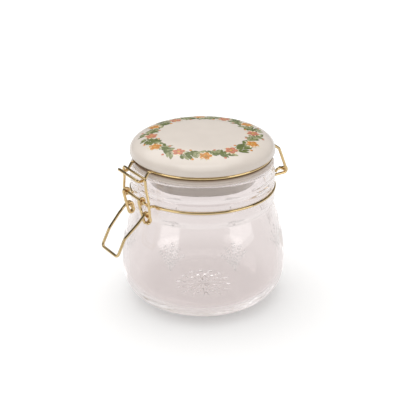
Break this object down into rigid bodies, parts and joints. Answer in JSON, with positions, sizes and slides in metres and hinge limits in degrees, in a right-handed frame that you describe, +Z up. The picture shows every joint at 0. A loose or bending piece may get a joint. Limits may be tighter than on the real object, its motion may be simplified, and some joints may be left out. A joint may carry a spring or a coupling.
{
  "type": "clip-top jar",
  "caption": "Clear glass storage jar with a domed ceramic lid, a rubber seal and a wire bail that clips shut.",
  "frame": {"origin": "on the jar's axis, on the flat face that the jar stands on", "axes": "+Z up along the jar's axis, the latch at -Y and the lid's hinge at +Y"},
  "size_m": [0.112, 0.139, 0.1163],
  "materials": {
    "clear_glass": "clear, glossy",
    "white_ceramic": "cream white glaze with a printed flower wreath",
    "seal_rubber": "pale, satin",
    "gold_wire": "polished pale gold"
  },
  "bodies": {
    "jar": {"jar_glass": "clear_glass", "neck_wire": "gold_wire"},
    "lid": {"lid_ceramic": "white_ceramic", "lid_seal": "seal_rubber", "lid_wire": "gold_wire"},
    "lever": {"latch_lever": "gold_wire"},
    "link": {"latch_link": "gold_wire"}
  },
  "joints": [
    {"name": "lid_hinge", "type": "hinge", "parent": "jar", "child": "lid", "pos_m": [0, 0.0618, 0.07945], "axis": [-1, 0, 0], "range_deg": [0, 105]},
    {"name": "lever_pivot", "type": "hinge", "parent": "jar", "child": "lever", "pos_m": [0, -0.0537, 0.0842], "axis": [-1, 0, 0], "range_deg": [0, 105]},
    {"name": "link_pivot", "type": "hinge", "parent": "lever", "child": "link", "pos_m": [0, -0.05131, 0.0735], "axis": [-1, 0, 0], "range_deg": [-73.5, 0]}
  ],
  "couplings": [
    {"joint": "link_pivot", "follows": "lever_pivot", "ratio": -0.7}
  ]
}
